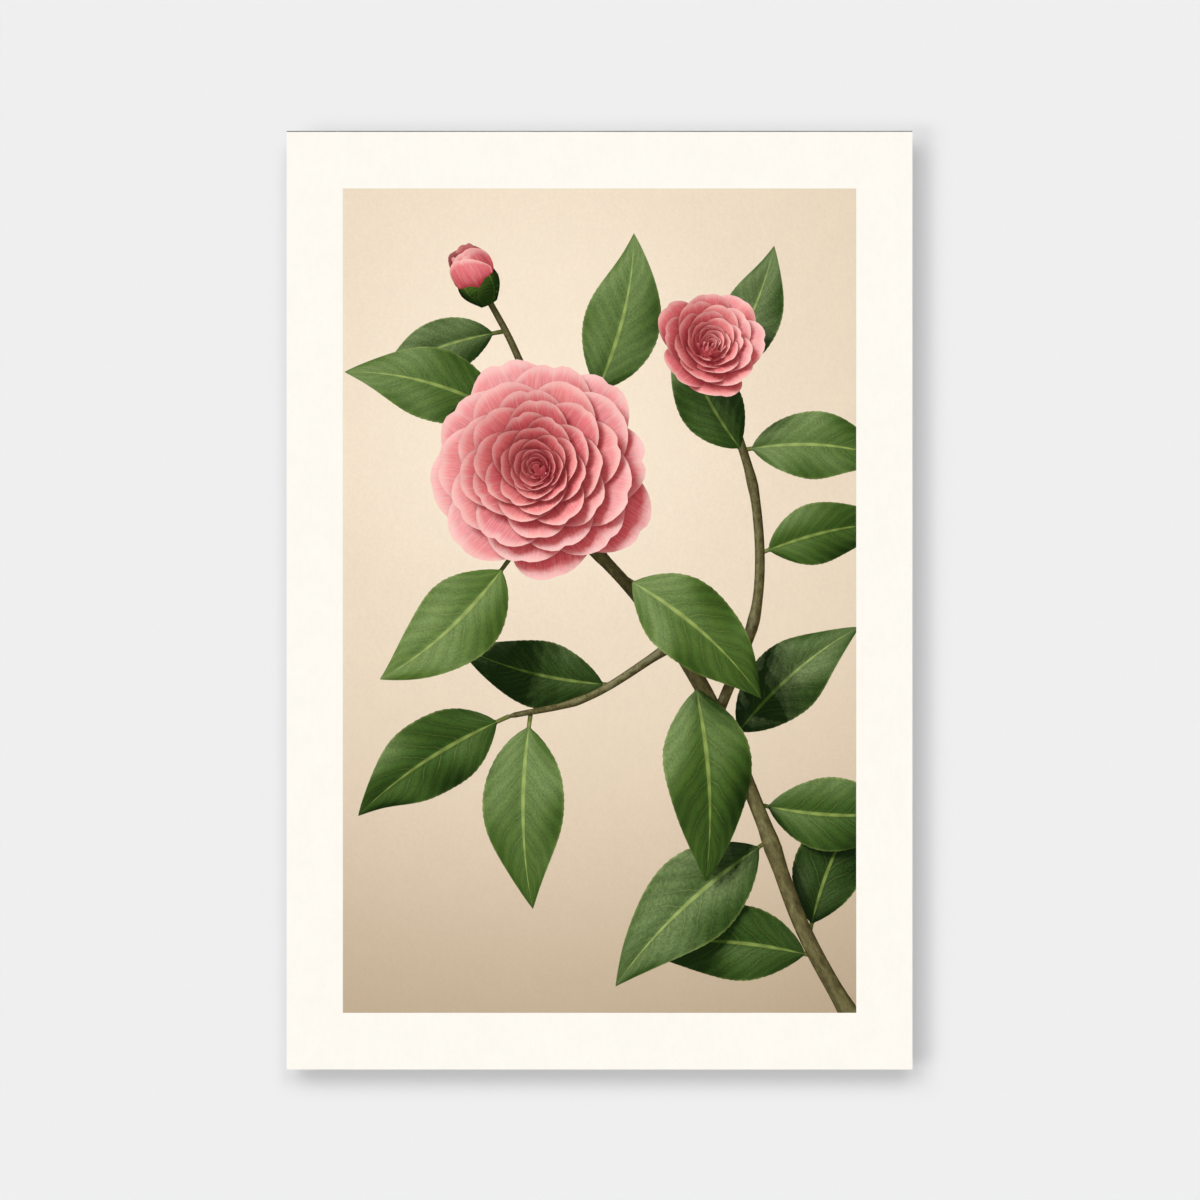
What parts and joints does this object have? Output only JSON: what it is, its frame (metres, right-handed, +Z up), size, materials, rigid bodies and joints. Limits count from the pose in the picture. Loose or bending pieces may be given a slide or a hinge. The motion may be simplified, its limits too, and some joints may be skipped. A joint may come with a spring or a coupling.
{
  "type": "mounted art print",
  "caption": "Flat printed sheet with a plain border on a thin stiff board, held off the wall by a mitred channel frame on its back that rests on wall hooks.",
  "frame": {"origin": "middle of the hook face, which is the underside of the top rail's web at the middle of the rail's length and of its channel", "axes": "+Z up, +X to the right of someone looking at the picture, -Y the way the picture faces, +Y towards the wall"},
  "size_m": [0.4, 0.0185, 0.6],
  "materials": {
    "paper": "matt cotton paper, printed",
    "skin": "coated, satin",
    "core": "sawn polyethylene",
    "tape": "acrylic foam tape",
    "rail": "mill, satin",
    "key": "die cast",
    "felt": "wool felt"
  },
  "bodies": {
    "root": {"art_print": "paper", "panel_front_skin": "skin", "panel_rear_skin": "skin", "panel_core": "core", "tape_top": "tape", "rail_top": "rail", "tape_bottom": "tape", "rail_bottom": "rail", "tape_left": "tape", "rail_left": "rail", "tape_right": "tape", "rail_right": "rail", "corner_key_top_left": "key", "pad_top_left": "felt", "corner_key_top_right": "key", "pad_top_right": "felt", "corner_key_bottom_left": "key", "pad_bottom_left": "felt", "corner_key_bottom_right": "key", "pad_bottom_right": "felt"}
  },
  "joints": []
}
